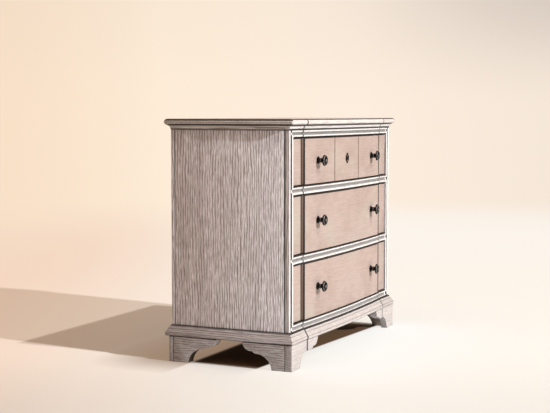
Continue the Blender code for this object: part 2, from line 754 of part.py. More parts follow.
def make_keyhole_plate(opening, holder):
    """Pointed plate with side lobes and a keyhole through it."""
    quarter = [(x * PLATE_WIDTH / 2, z * PLATE_HEIGHT / 2) for x, z in PLATE_SHARES]
    right = quarter + [(x, -z) for x, z in reversed(quarter[:-1])]
    outline = right + [(-x, z) for x, z in reversed(right[1:-1])]
    back = -bow(0.0) - GAP
    middle = opening / 2
    rings = []
    for y in (back, back - PLATE_THICKNESS):
        rings.append([(x, y, middle + z) for x, z in outline])
    plate = drawn_through("drawer_upper_keyhole_plate", rings, holder, DARK_BRONZE)
    slot = []
    for turn in steps_between(math.radians(-60), math.radians(240), ROUND_STEPS // 2):
        slot.append((KEYHOLE_RADIUS * math.cos(turn), KEYHOLE_RADIUS * math.sin(turn)))
    slot += [(-KEYHOLE_SLOT_WIDTH / 2, -KEYHOLE_SLOT_DROP), (KEYHOLE_SLOT_WIDTH / 2, -KEYHOLE_SLOT_DROP)]
    slot_rings = []
    for y in (back + OVERRUN, back - PLATE_THICKNESS - OVERRUN):
        slot_rings.append([(x, y, middle + KEYHOLE_RADIUS + z) for x, z in slot])
    combine(plate, drawn_through("keyhole", slot_rings, holder, None), "DIFFERENCE")


def make_drawer(level, sill, opening):
    holder = empty_at("drawer_" + level, case, (0.0, 0.0, sill))
    make_drawer_front(level, opening, holder)
    for side_name, side in SIDES:
        make_drawer_side(level, side_name, side, opening, holder)
        make_knob(level, side_name, side, opening, holder)
        make_knob_screw(level, side_name, side, opening, holder)
    make_drawer_back_and_bottom(level, opening, holder)


def make_case():
    make_top_board()
    make_rails()
    make_back_and_bottom()
    make_mouldings()
    for side_name, side in SIDES:
        make_stile(side_name, side)
        make_side_panel(side_name, side)
        make_front_foot(side_name, side)
        make_back_foot(side_name, side)
        make_side_foot(side_name, side, True)
        make_side_foot(side_name, side, False)
        make_runner("upper", side_name, side, UPPER_SILL)
        make_runner("middle", side_name, side, MIDDLE_SILL)


for old in list(bpy.data.objects):
    bpy.data.objects.remove(old)
parts = new_collection("chest_of_drawers")
cutters = new_collection("cutters")
case = empty_at("case", None, (0.0, front_line_y(), 0.0))
make_case()
for drawer_level, drawer_sill, drawer_opening in DRAWERS:
    make_drawer(drawer_level, drawer_sill, drawer_opening)
make_keyhole_plate(UPPER_OPENING_HEIGHT, bpy.data.objects["drawer_upper"])
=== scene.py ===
# %% [markdown]
# # A bow-fronted chest of three drawers
# The chest is pale, lime-washed wood: a frame with a hollow run round every opening, three drawers with a
# raised, gently bowed middle, dark turned knobs and bracket feet. The joiner's model, with every board at its
# real size, is loaded first. This lesson then dresses it: it sets the camera and the light, mixes the
# finishes, eases the sharp edges of the boards, and turns finer knobs.

import math

import bpy
from mathutils import Matrix, Vector


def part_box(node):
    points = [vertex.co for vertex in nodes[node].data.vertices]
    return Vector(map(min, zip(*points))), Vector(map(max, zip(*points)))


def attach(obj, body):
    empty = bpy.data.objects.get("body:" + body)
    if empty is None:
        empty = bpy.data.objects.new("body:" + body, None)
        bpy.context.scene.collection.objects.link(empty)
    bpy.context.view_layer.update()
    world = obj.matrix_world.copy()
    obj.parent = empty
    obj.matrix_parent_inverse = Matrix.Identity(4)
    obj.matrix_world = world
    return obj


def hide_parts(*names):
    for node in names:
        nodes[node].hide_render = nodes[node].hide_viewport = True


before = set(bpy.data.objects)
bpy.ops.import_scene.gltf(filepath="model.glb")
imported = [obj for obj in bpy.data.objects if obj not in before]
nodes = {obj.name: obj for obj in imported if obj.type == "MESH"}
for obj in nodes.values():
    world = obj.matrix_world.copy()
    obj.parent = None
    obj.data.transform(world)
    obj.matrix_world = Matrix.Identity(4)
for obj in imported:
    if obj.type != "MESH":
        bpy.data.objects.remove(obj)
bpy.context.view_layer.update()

# %% [markdown]
# ## The camera
# The chest is seen from its left, from about the height of its top, so the side fills the left half of the
# picture and the front is sharply foreshortened. A long lens from about five metres keeps the upright edges
# nearly parallel. A camera can be aimed by eye with a Track To constraint, but plain angles are easier to
# repeat exactly.

# %% Set the camera
CAMERA_PLACE = (-4.5763, -2.0083, 0.9198)
CAMERA_TILT = 85.74
CAMERA_TURN = -65.58
SENSOR_WIDTH = 36.0
LENS = 81.94
SIGHT_END = 200.0

bpy.ops.object.camera_add(
    location=CAMERA_PLACE,
    rotation=(math.radians(CAMERA_TILT), 0, math.radians(CAMERA_TURN)),
)
camera = bpy.context.object
camera.data.sensor_width = SENSOR_WIDTH
camera.data.lens = LENS
camera.data.clip_end = SIGHT_END
bpy.context.scene.camera = camera
print("camera at", CAMERA_PLACE, "lens", LENS, "mm")

# %% [markdown]
# ## Shader arithmetic
# A finish is mostly sums: how far a point is from a joint, how strong the grain is there. Wiring Math nodes
# one by one hides the sum, so a small class wraps a node's output and lets Python's own signs add the nodes.
# Everything that isn't plain arithmetic goes through its one method for any node. A Mix node has a set of
# sockets for every kind of value, so the numbers of its colour sockets are written down first.

# %% Wrap a socket
LINE_CORE_SHARE = 0.6
MIX_SHARE = 0
MIX_FIRST = 6
MIX_SECOND = 7
MIX_RESULT = 2


class Wire:
    """An output of a shader node. Arithmetic on it adds Math nodes to the same material."""

    def __init__(self, socket):
        self.socket = socket
        self.tree = socket.id_data

    def node(self, kind, inputs, out=0, stops=(), **settings):
        """Any other node: its settings, then a ramp's stops, then values or links for its inputs."""
        made = self.tree.nodes.new("ShaderNode" + kind)
        for name, value in settings.items():
            setattr(made, name, value)
        for number, (at, colour) in enumerate(stops):
            ramp = made.color_ramp.elements
            stop = ramp[number] if number < 2 else ramp.new(at)
            stop.position = at
            stop.color = (*colour, 1)
        for name, value in inputs.items():
            if isinstance(value, Wire):
                self.tree.links.new(value.socket, made.inputs[name])
            else:
                made.inputs[name].default_value = value
        return Wire(made.outputs[out])

    def math(self, operation, *values):
        """A Math node on these values."""
        return self.node("Math", dict(enumerate(values)), operation=operation)

    def __add__(self, other):
        return self.math("ADD", self, other)

    def __sub__(self, other):
        return self.math("SUBTRACT", self, other)

    def __rsub__(self, other):
        return self.math("SUBTRACT", other, self)

    def __mul__(self, other):
        return self.math("MULTIPLY", self, other)

    def __truediv__(self, other):
        return self.math("DIVIDE", self, other)

    def __abs__(self):
        return self.math("ABSOLUTE", self)

    __radd__ = __add__
    __rmul__ = __mul__

    def rise(self, low, high):
        """0 below low, 1 above high, and smooth between them."""
        limits = {"Value": self, "From Min": low, "From Max": high}
        return self.node("MapRange", limits, interpolation_type="SMOOTHSTEP")

    def line(self, at, half_width):
        """1 where this coordinate is near the value at, fading to 0 at half_width from it."""
        return 1 - abs(self - at).rise(half_width * LINE_CORE_SHARE, half_width)

    def most(self, other):
        """The larger of this and the other."""
        return self.math("MAXIMUM", self, other)

    def noise(self, detail=2.0, roughness=0.5):
        """Noise read at this vector, from 0 to 1."""
        inputs = {"Vector": self, "Scale": 1.0, "Detail": detail, "Roughness": roughness}
        return self.node("TexNoise", inputs)

    def blend(self, first, second):
        """The first colour where this is 0, the second where it is 1."""
        first, second = [c if isinstance(c, Wire) else (*c, 1) for c in (first, second)]
        inputs = {MIX_SHARE: self, MIX_FIRST: first, MIX_SECOND: second}
        return self.node("Mix", inputs, out=MIX_RESULT, data_type="RGBA")


def vector(x, y, z):
    """Three values as one vector."""
    wire = next(v for v in (x, y, z) if isinstance(v, Wire))
    return wire.node("CombineXYZ", {"X": x, "Y": y, "Z": z})


def finish(name, roughness, metallic=0.0):
    """A new material, its Principled shader and its point in space as three Wires."""
    material = bpy.data.materials.new(name)
    material.use_nodes = True
    shader = material.node_tree.nodes["Principled BSDF"]
    shader.inputs["Roughness"].default_value = roughness
    shader.inputs["Metallic"].default_value = metallic
    where = material.node_tree.nodes.new("ShaderNodeTexCoord")
    split = material.node_tree.nodes.new("ShaderNodeSeparateXYZ")
    material.node_tree.links.new(where.outputs["Object"], split.inputs[0])
    return material, shader, [Wire(output) for output in split.outputs]


def feed(shader, name, wire):
    """Links a Wire to an input of a shader."""
    wire.tree.links.new(wire.socket, shader.inputs[name])


def relief(shader, height, distance):
    """Turns a height into fine relief on the surface."""
    feed(shader, "Normal", height.node("Bump", {"Height": height, "Distance": distance}))


print("shader arithmetic ready")

# %% [markdown]
# ## Backdrop and floor
# The chest stands on a plain cream floor that runs into a cream backdrop with no line between them. The
# backdrop is the world, peach to the left, paler to the right and dimmer in the upper corner. What lights the
# chest is a second, plainer sky, brightest overhead, because a bright backdrop would also light the dark
# space under the chest. A Light Path node tells the two apart.

# %% Backdrop and sky
ACROSS = Vector((0.4135, -0.9105, 0.0))
BACKDROP_REACH = 0.26
BACKDROP_LEFT = (0.94, 0.74, 0.565)
BACKDROP_MIDDLE = (0.99, 0.84, 0.68)
BACKDROP_RIGHT = (0.985, 0.85, 0.725)
BACKDROP_EDGE = (0.92, 0.80, 0.69)
BACKDROP_STOPS = [(0.0, BACKDROP_LEFT), (1.0, BACKDROP_EDGE), (0.25, BACKDROP_MIDDLE), (0.7, BACKDROP_RIGHT)]
CORNER_COLOUR = (0.62, 0.54, 0.48)
CORNER_HEIGHT = 0.11
LEFT_DIM = 0.12
RIGHT_DIM = 0.8
SKY_LIGHT = (0.455, 0.35, 0.272)
SKY_LOW = 0.05
SKY_HIGH = 1.85
SKY_RISE = (0.25, 0.95)


def backdrop_colour(across):
    """The backdrop's colour, from the far left to the far right of the picture."""
    turn = across.rise(-BACKDROP_REACH, BACKDROP_REACH)
    return turn.node("ValToRGB", {"Fac": turn}, stops=BACKDROP_STOPS)


world = bpy.data.worlds.new("backdrop")
bpy.context.scene.world = world
world.use_nodes = True
tree = world.node_tree
tree.nodes.clear()
direction = Wire(tree.nodes.new("ShaderNodeTexCoord").outputs["Generated"])
height = direction.node("SeparateXYZ", {0: direction}, out="Z")
across = direction.node("VectorMath", {0: direction, 1: ACROSS}, out="Value", operation="DOT_PRODUCT")
dim = height.rise(0.0, CORNER_HEIGHT) * (across.rise(0.0, BACKDROP_REACH) * RIGHT_DIM + LEFT_DIM)
seen = dim.blend(backdrop_colour(across), CORNER_COLOUR)
glow = height.rise(*SKY_RISE) * (SKY_HIGH - SKY_LOW) + SKY_LOW
lit = height.node("Background", {"Color": (*SKY_LIGHT, 1), "Strength": glow})
shown = height.node("Background", {"Color": seen, "Strength": 1.0})
is_seen = Wire(tree.nodes.new("ShaderNodeLightPath").outputs["Is Camera Ray"])
mixed = height.node("MixShader", {0: is_seen, 1: lit, 2: shown})
out = tree.nodes.new("ShaderNodeOutputWorld")
tree.links.new(mixed.socket, out.inputs["Surface"])
print("sky from", SKY_LOW, "at the horizon to", SKY_HIGH, "overhead")

# %% [markdown]
# The floor is one wide disc, a hair below the feet.

# %% Floor disc
FLOOR_RADIUS = 60.0
FLOOR_SIDES = 96
FLOOR_DROP = 0.0004

bpy.ops.object.select_all(action="DESELECT")
bpy.ops.mesh.primitive_circle_add(
    vertices=FLOOR_SIDES, radius=FLOOR_RADIUS, fill_type="NGON", location=(0, 0, -FLOOR_DROP)
)
floor = bpy.context.object
floor.name = "studio_floor"
bpy.ops.object.transform_apply(location=True)
print("floor radius", FLOOR_RADIUS)

# %% [markdown]
# The floor's paint is darker to the left and towards the near edge, which is painted shade, and deep brown
# in the space under the chest, which is a painted shadow. It is mixed with a second shader that glows. Far
# away the glow takes the colour of the backdrop behind it, which hides the horizon. Close to the chest it
# stands for the light that a studio's walls throw back: a white patch before the front, and a brown one in
# the shadow along the back.

# %% Floor paint
AWAY = Vector((0.9105, 0.4135, 0.0))
VIEW_DISTANCE = 5.1
BLACK = (0.0, 0.0, 0.0)
FLOOR_SHADE = (0.87, 0.74, 0.64)
FLOOR_LIGHT = (0.94, 0.99, 1.0)
FLOOR_TURN = (-1.6, 0.3)
FLOOR_NEAR = (-1.4, -0.1)
NEAR_DIM = 0.26
NEAR_DIM_LESS = 0.18
UNDER_SHADOW_COLOUR = (0.33, 0.185, 0.092)
UNDER_SIDES = (0.50, 0.54)
UNDER_FRONT = (-0.152, -0.136)
UNDER_SLANT = 0.077
UNDER_BACK = (0.150, 0.175)
FLOOR_FADE = (2.2, 9.0)
WHITE_FLOOR = (0.99, 0.975, 0.945)
WHITE_FADE = (2.5, 9.0)
WHITE_TURN = (-0.14, 0.08)
WHITE_RIGHT = 0.8
WHITE_LEFT = 0.15
GLOW_SIDES = (0.48, 0.80)
FRONT_GLOW = (-0.85, -0.22)
FRONT_GLOW_SHARE = 0.84
BACK_GLOW = (0.155, 0.180)
BACK_GLOW_END = (0.28, 0.60)
BACK_GLOW_SHARE = 0.8
BACK_GLOW_EDGE = 0.1
BACK_GLOW_COLOUR = (0.36, 0.245, 0.165)

material, shader, (x, y, z) = finish("studio_floor_paint", roughness=0.6)
point = vector(x, y, 0.0)
far = point.node("VectorMath", {0: point}, out="Value", operation="LENGTH")
side = point.node("VectorMath", {0: point, 1: ACROSS}, out="Value", operation="DOT_PRODUCT")
away = point.node("VectorMath", {0: point, 1: AWAY}, out="Value", operation="DOT_PRODUCT")
# Painted shade: the paint darkens to the left and, more on the left, towards the near edge.
to_right = side.rise(*FLOOR_TURN)
paint = to_right.blend(FLOOR_SHADE, FLOOR_LIGHT)
near_shade = (1 - away.rise(*FLOOR_NEAR)) * (NEAR_DIM - to_right * NEAR_DIM_LESS)
paint = near_shade.blend(paint, BLACK)
# Painted shadow: the floor under the chest turns deep brown.
inward = (y + x * UNDER_SLANT).rise(*UNDER_FRONT)
shade_below = inward * (1 - y.rise(*UNDER_BACK)) * (1 - abs(x).rise(*UNDER_SIDES))
feed(shader, "Base Color", shade_below.blend(paint, UNDER_SHADOW_COLOUR))

across = side / (far + VIEW_DISTANCE)
whiteness = (1 - far.rise(*WHITE_FADE)) * (across.rise(*WHITE_TURN) * WHITE_RIGHT + WHITE_LEFT)
colour = whiteness.blend(backdrop_colour(across), WHITE_FLOOR)
near_side = 1 - abs(x).rise(*GLOW_SIDES)
front_glow = y.rise(*FRONT_GLOW) * (1 - inward) * near_side * FRONT_GLOW_SHARE
back_glow = y.rise(*BACK_GLOW) * (1 - y.rise(*BACK_GLOW_END)) * near_side * BACK_GLOW_SHARE
colour = back_glow.rise(0.0, BACK_GLOW_EDGE).blend(colour, BACK_GLOW_COLOUR)
glowing = far.node("Emission", {"Color": colour, "Strength": 1.0})
faded = far.rise(*FLOOR_FADE).most(front_glow).most(back_glow)
whole = far.node("MixShader", {0: faded, 1: Wire(shader.outputs[0]), 2: glowing})
tree = material.node_tree
tree.links.new(whole.socket, tree.nodes["Material Output"].inputs["Surface"])
floor.data.materials.append(material)
print("floor turns into the backdrop from", FLOOR_FADE[0], "to", FLOOR_FADE[1], "metres away")

# %% [markdown]
# ## Lamps
# The cast shadow has two tones, so two lamps stand before the front, one high and one low. Both shine nearly
# along the side panel and only graze it, so the front is bright while the side lies in soft shade. Sun lamps
# give parallel, clear-edged shadows, and a small angle softens them with distance.

# %% Lamps
HIGH_LAMP = {"height": 51.0, "drift": 0.10, "strength": 1.28, "colour": (1.0, 0.94, 0.88)}
LOW_LAMP = {"height": 24.0, "drift": 0.13, "strength": 2.35, "colour": (1.0, 1.02, 1.05)}
LAMP_ANGLE = 1.2


def lamp(name, height, drift, strength, colour):
    """A sun lamp whose light runs to the back of the chest and drifts a little to its right."""
    level = Vector((drift, 1.0, 0.0)).normalized() * math.cos(math.radians(height))
    travel = level - Vector((0, 0, math.sin(math.radians(height))))
    bpy.ops.object.light_add(type="SUN", rotation=travel.to_track_quat("-Z", "Y").to_euler())
    sun = bpy.context.object
    sun.name = name
    sun.data.energy = strength
    sun.data.color = colour
    sun.data.angle = math.radians(LAMP_ANGLE)


lamp("high_lamp", **HIGH_LAMP)
lamp("low_lamp", **LOW_LAMP)
bpy.context.scene.view_settings.view_transform = "Standard"
print("lamps at", HIGH_LAMP["height"], "and", LOW_LAMP["height"], "degrees")

# %% [markdown]
# ## Where the joints are
# Dark glaze stays in the joints, and the joints, hollows and gaps are darkened further with painted shade, so
# they read as dark lines. Their places are read from the boards themselves, which keeps the lines on the
# joints. Only the places across the front are written here, since no board ends there: its two steps, the top
# and the foot of the cove that ends each drawer's raised field, and the grooves of the top drawer.

# %% Joint places
TOP_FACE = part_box("top_board")[1].z
TOP_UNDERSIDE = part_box("cove_left")[1].z
COVE_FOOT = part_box("cove_left")[0].z
BASE_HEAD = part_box("base_moulding_left")[1].z
FOOT_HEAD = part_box("bracket_left_front")[1].z
PANEL_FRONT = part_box("side_panel_left")[0].y
PANEL_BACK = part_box("side_panel_left")[1].y
STILE_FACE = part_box("front_stile_left")[0].y
STILE_OUTSIDE = -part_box("front_stile_left")[0].x
STILE_INSIDE = -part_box("front_stile_left")[1].x
FRONT_BACK_OF_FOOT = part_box("bracket_front_left")[1].y
BACK_OF_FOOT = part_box("bracket_back_left")[0].y
RAILS = ["bottom_rail", "lower_rail", "upper_rail", "top_rail"]
DRAWERS = ["upper", "middle", "lower"]
RAIL_BOXES = [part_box(rail) for rail in RAILS]
RAIL_FEET = [low.z for low, high in RAIL_BOXES]
RAIL_HEADS = [high.z for low, high in RAIL_BOXES]
DRAWER_BOXES = [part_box(f"drawer_{level}_front") for level in DRAWERS]
DRAWER_FEET = [low.z for low, high in DRAWER_BOXES]
DRAWER_HEADS = [high.z for low, high in DRAWER_BOXES]
BOTTOM_HOLLOW_DROP = 0.0155
TOP_HOLLOW_RISE = 0.01325
MIDDLE_HOLLOWS = [(foot + head) / 2 for foot, head in zip(RAIL_FEET[1:3], RAIL_HEADS[1:3])]
RAIL_HOLLOWS = [RAIL_HEADS[0] - BOTTOM_HOLLOW_DROP, *MIDDLE_HOLLOWS, RAIL_FEET[3] + TOP_HOLLOW_RISE]
BREAK_X = 0.408
FIELD_X = 0.398
FIELD_FOOT_X = 0.411
PANEL_GROOVE_X = 0.1273
print("levels:", [round(v, 4) for v in (FOOT_HEAD, BASE_HEAD, COVE_FOOT, TOP_UNDERSIDE)])
print("stile face", round(STILE_FACE, 4), "inside edge", round(STILE_INSIDE, 4))
print("foot boards:", round(FRONT_BACK_OF_FOOT, 4), round(BACK_OF_FOOT, 4))

# %% [markdown]
# ## Brushed grain
# The wood was brushed with wire, which digs out the soft grain and leaves thin dark grooves that waver a
# little and fade in and out. The fractional part of a coordinate rules even lines. Noise added to the
# coordinate first makes them waver, and a stretched noise fades them. A finer noise adds the short fibres
# between them, and a broad one the bands of a board.

# %% Grain
WAVER_ALONG = 2.4
WAVER_ACROSS = 13.0
WAVER_REACH = 3.8
GROOVE_EDGE = (0.02, 0.24)
FADE_THREADS = 1.4
FADE_EDGE = (0.32, 0.54)
FIBRE_RUN = 2.0
FIBRE_THREADS = 3.1
BAND_ALONG = 1.3
BAND_ACROSS = 22.0


def stretched(along, across, deep, long_scale, fine_scale):
    """A vector that runs slowly along the grain and fast across it."""
    return vector(along * long_scale, across * fine_scale, deep * fine_scale)


def grain(along, across, deep, shift, threads, run):
    """Three layers of grain that run with along: (grooves, fibres, bands), each from 0 to 1."""
    place = (along + shift, across, deep)
    waver = stretched(*place, WAVER_ALONG, WAVER_ACROSS).noise(detail=3.0, roughness=0.55)
    phase = (across + deep) * threads + waver * WAVER_REACH
    groove = 1 - abs(phase.node("Math", {0: phase}, operation="FRACT") - 0.5).rise(*GROOVE_EDGE)
    fade = stretched(*place, run, threads * FADE_THREADS).noise(detail=2.0, roughness=0.5)
    fibres = stretched(*place, run * FIBRE_RUN, threads * FIBRE_THREADS).noise(detail=3.0, roughness=0.62)
    bands = stretched(*place, BAND_ALONG, BAND_ACROSS).noise(detail=2.0, roughness=0.5)
    return groove * fade.rise(*FADE_EDGE), fibres, bands


def facing(wire):
    """The three parts of the direction a surface faces."""
    up = wire.node("NewGeometry", {}, out="Normal")
    return [up.node("SeparateXYZ", {0: up}, out=axis) for axis in "XYZ"]


def lettered(place, order):
    """The coordinates of a place in the order of some letters, such as zyx."""
    return [place["xyz".index(letter)] for letter in order]


print("grain ready")

# %% [markdown]
# ## Washed wood
# Thin white paint was brushed on and wiped off. Faces that look to the front or up take the front tones, and
# faces that look to the sides or the back take the side tones, where the grooves show more. The split is in
# part a thinner wash and in part painted light and shade, since the lamps light the front and leave the sides
# in shade. The backs of the feet are painted dark as shade under the chest. Every washed board uses the same
# mixture, with its own grain direction, its own tones and its own dark marks, part glaze and part painted
# shade. Tones come in pairs: where the paint is thick, and where the wood shows through.

# %% Tones
# Painted light and shade in part: the side tones go on faces that the lamps leave in shade.
PANEL_TONES = ((0.91, 0.87, 0.92), (0.54, 0.49, 0.505))
STILE_SIDE_TONES = ((0.66, 0.625, 0.65), (0.46, 0.43, 0.445))
FOOT_SIDE_TONES = ((0.50, 0.465, 0.475), (0.33, 0.295, 0.295))
FOOT_TONES = ((0.62, 0.575, 0.555), (0.51, 0.46, 0.44))
RAIL_TONES = ((0.88, 0.86, 0.84), (0.76, 0.73, 0.71))
TOP_TONES = ((0.80, 0.745, 0.715), (0.70, 0.64, 0.605))
NOSING_SIDE_TONES = ((0.74, 0.665, 0.625), (0.49, 0.425, 0.395))
GROOVE_COLOUR = (0.140, 0.085, 0.066)
# Painted shade: near-black on the backs of the near feet and the case's underside, brown on the far feet's
# backs.
DARK_SHADE_COLOUR = (0.035, 0.022, 0.016)
FAR_BACK_SHADE_COLOUR = (0.36, 0.28, 0.22)
# Near-black for the dark marks, which are part glaze and part painted shade.
GLAZE_AND_SHADE = (0.016, 0.011, 0.010)
print("rails from", RAIL_TONES[1], "to", RAIL_TONES[0])

# %% Washed wood
FACES_FRONT = (0.35, 0.65)
FACES_UP = (0.8, 0.9)
FIBRE_EDGE = (0.38, 0.62)
BAND_EDGE = (0.45, 0.75)
BAND_DEPTH = 0.18
BAND_CALM = 0.6
BACK_EDGE = (0.05, 0.11)
JOINT_HALF = 0.0044
UPRIGHT_HALF = 0.0030
SIDE_JOINT_DEPTH = 0.7
FOOT_HEAD_CALM = 0.55
GLAZE_AND_SHADE_DEPTH = 0.97
WASH_ROUGHNESS = 0.52
GROOVE_ROUGHNESS = 0.2
FIBRE_RISE = 0.4
GROOVE_DROP = 0.6
JOINT_DROP = 0.4
FRONT_RELIEF_CALM = 0.5
WASH_RELIEF = 0.0007


def near_levels(z, levels, half_width):
    """1 along each of several levels."""
    lines = z.line(levels[0], half_width)
    for level in levels[1:]:
        lines = lines.most(z.line(level, half_width))
    return lines


def washed_wood(
    name,
    order,
    shift,
    marks,
    front_tones,
    side_tones=PANEL_TONES,
    depth=0.82,
    calm=0.2,
    threads=98.0,
    run=13.0,
    back="",
    back_shade=DARK_SHADE_COLOUR,
):
    """Washed wood with grain along the first letter of order. Its front is calmer than its sides."""
    material, shader, place = finish(name, roughness=0.62)
    x, y, z = place
    grooves, fibres, bands = grain(*lettered(place, order), shift, threads, run)
    turned = facing(x)
    # Painted light and shade in part: front and upward faces take the front tones, sideways faces the side
    # tones.
    front = (turned[1] * -1.0).rise(*FACES_FRONT).most(turned[2].rise(*FACES_UP))
    light = front.blend(side_tones[0], front_tones[0])
    ground = front.blend(side_tones[1], front_tones[1])
    colour = fibres.rise(*FIBRE_EDGE).blend(ground, light)
    colour = (bands.rise(*BAND_EDGE) * BAND_DEPTH * (1 - front * BAND_CALM)).blend(colour, GROOVE_COLOUR)
    colour = (grooves * (depth - front * (depth - calm))).blend(colour, GROOVE_COLOUR)
    # Painted shade: faces on the back of a foot board take the back shade colour.
    for faces, where in zip(lettered(turned, back), lettered(place, back)):
        colour = (faces * where * -1.0).rise(*BACK_EDGE).blend(colour, back_shade)
    # Painted shade with some glaze: dark lines under the mouldings, and the board's own marks.
    joints = near_levels(z, [COVE_FOOT, BASE_HEAD, TOP_UNDERSIDE], JOINT_HALF)
    joints = joints * (front * (1 - SIDE_JOINT_DEPTH) + SIDE_JOINT_DEPTH)
    joints = joints.most(marks(x, y, z))
    joints = joints.most(z.line(FOOT_HEAD, UPRIGHT_HALF) * (1 - front * FOOT_HEAD_CALM))
    feed(shader, "Base Color", (joints * GLAZE_AND_SHADE_DEPTH).blend(colour, GLAZE_AND_SHADE))
    feed(shader, "Roughness", WASH_ROUGHNESS + grooves * GROOVE_ROUGHNESS)
    brushed = (fibres * FIBRE_RISE - grooves * GROOVE_DROP) * (1 - front * FRONT_RELIEF_CALM)
    relief(shader, brushed - joints * JOINT_DROP, WASH_RELIEF)
    return material


print("washed wood ready")

# %% [markdown]
# ## Glaze and painted shade on the frame
# Each kind of board has its own dark marks: the hollow run down a stile or along a rail, the edges beside the
# drawers, and the upright break where the middle of the front steps out. They are painted shade, for the
# shade that falls in those hollows, gaps and steps, with some glaze. A mark is a function from a place on the
# board to a strength between 0 and 1.

# %% Marks on stiles, panels and rails
STILE_MIDDLE = (STILE_OUTSIDE + STILE_INSIDE) / 2
STILE_FRONT = (PANEL_FRONT - 0.012, PANEL_FRONT - 0.008)
STILE_EDGE = (STILE_INSIDE, STILE_INSIDE + 0.0006)
EDGE_SHADE_END = (STILE_FACE + 0.0025, STILE_FACE + 0.0035)
HOLLOW_HALF = 0.0066
HOLLOW_EDGE = (HOLLOW_HALF - 0.0008, HOLLOW_HALF + 0.0002)
PANEL_BACK_DEPTH = 0.6
GAP_FACING = (0.75, 0.9)
GAP_END = (PANEL_FRONT, PANEL_FRONT + 0.006)
BREAK_HALF = 0.0034
BREAK_DEPTH = 0.85
BREAK_END = (PANEL_FRONT, PANEL_FRONT + 0.01)
STEP_SHADE_BEFORE = 0.0045
STEP_SHADE_HALF = 0.0062
RAIL_HOLLOW_DEPTH = 0.7
RAIL_FOOT_HALF = 0.0028
RAIL_HEAD_HALF = 0.0050


def stile_marks(x, y, z):
    """The joint to the side panel, painted shade in the hollow, and painted shade in the gap at the inner
    edge.
    """
    joint = y.line(PANEL_FRONT, UPRIGHT_HALF)
    hollow = (1 - abs(abs(x) - STILE_MIDDLE).rise(*HOLLOW_EDGE)) * (1 - y.rise(*STILE_FRONT))
    edge = (1 - abs(x).rise(*STILE_EDGE)) * (1 - y.rise(*EDGE_SHADE_END))
    return joint.most(hollow).most(edge)


def panel_marks(x, y, z):
    """The joints at the panel's two upright edges, the back one fainter."""
    return y.line(PANEL_FRONT, UPRIGHT_HALF).most(y.line(PANEL_BACK, UPRIGHT_HALF) * PANEL_BACK_DEPTH)


def step_lines(x):
    """Painted shade at the front's two steps, with a wider band just inside the right one."""
    step_shade = x.line(BREAK_X - STEP_SHADE_BEFORE, STEP_SHADE_HALF)
    return abs(x).line(BREAK_X, BREAK_HALF).most(step_shade) * BREAK_DEPTH


def gap_faces(y):
    """1 on the level faces between rail and drawer near the front, which are painted dark as the shade in the
    gap.
    """
    return abs(facing(y)[2]).rise(*GAP_FACING) * (1 - y.rise(*GAP_END))


def rail_marks(x, y, z):
    """Painted shade in each rail's hollow, at the break in its face, and along its edges beside the drawers.
    """
    hollow = near_levels(z, RAIL_HOLLOWS, HOLLOW_HALF) * RAIL_HOLLOW_DEPTH
    edges = near_levels(z, RAIL_FEET, RAIL_FOOT_HALF).most(near_levels(z, RAIL_HEADS, RAIL_HEAD_HALF))
    return hollow.most(step_lines(x)).most(edges).most(gap_faces(y))


def break_marks(x, y, z):
    """The painted shade line where the front steps out, on front faces only."""
    return step_lines(x) * (1 - y.rise(*BREAK_END))


print("hollows of the rails:", [round(v, 4) for v in RAIL_HOLLOWS])

# %% Marks on mouldings, top and feet
COVE_LINE = COVE_FOOT + 0.0085
COVE_LINE_HALF = 0.0020
COVE_LINE_DEPTH = 0.7
BASE_QUIRKS = [BASE_HEAD - 0.011, FOOT_HEAD + 0.012]
BASE_QUIRK_HALF = 0.0022
BASE_QUIRK_DEPTH = 0.32
NOSING_SIDES = (STILE_OUTSIDE + 0.006, STILE_OUTSIDE + 0.010)
NOSING_RIMS = [TOP_FACE - 0.0030, TOP_UNDERSIDE + 0.0010]
NOSING_RIM_HALF = 0.0052
NOSING_LINE = TOP_FACE - 0.0135
NOSING_LINE_HALF = 0.0030
NOSING_LINE_DEPTH = 0.35
QUIRK = TOP_FACE - 0.0026
QUIRK_HALF = 0.0026
QUIRK_DEPTH = 0.95
BREAK_TOP = (TOP_FACE - 0.001, TOP_FACE)
PEGS_PER_METRE = 150.0
PEG_EDGE = (0.35, 0.6)
PEG_GAP_DEPTH = 0.3


def cove_marks(x, y, z):
    """One more painted shade line along the side cove, where its hollow lies in shade."""
    return near_levels(z, [COVE_LINE], COVE_LINE_HALF) * COVE_LINE_DEPTH


def base_marks(x, y, z):
    """Painted shade in the small quirks of the base moulding."""
    return near_levels(z, BASE_QUIRKS, BASE_QUIRK_HALF) * BASE_QUIRK_DEPTH


def front_base_marks(x, y, z):
    """The same quirks with the break in the front."""
    return base_marks(x, y, z).most(break_marks(x, y, z))


def top_marks(x, y, z):
    """Glaze and painted shade in the nosing's top quirk, three painted shade lines on its sides, and the
    front's break.
    """
    rims = near_levels(z, NOSING_RIMS, NOSING_RIM_HALF)
    rims = rims.most(z.line(NOSING_LINE, NOSING_LINE_HALF) * NOSING_LINE_DEPTH) * abs(x).rise(*NOSING_SIDES)
    quirk = (z.line(QUIRK, QUIRK_HALF) * QUIRK_DEPTH).most(rims)
    return quirk.most(break_marks(x, y, z) * (1 - z.rise(*BREAK_TOP)))


def foot_marks(x, y, z):
    """The pegged joint near the ends of a foot's side board."""
    rows = z * PEGS_PER_METRE
    pegs = rows.node("Math", {0: rows}, operation="FRACT").rise(*PEG_EDGE)
    joint = y.line(FRONT_BACK_OF_FOOT, JOINT_HALF).most(y.line(BACK_OF_FOOT, JOINT_HALF))
    return joint * (pegs * (1 - PEG_GAP_DEPTH) + PEG_GAP_DEPTH)


print("quirks of the base:", [round(v, 4) for v in BASE_QUIRKS])

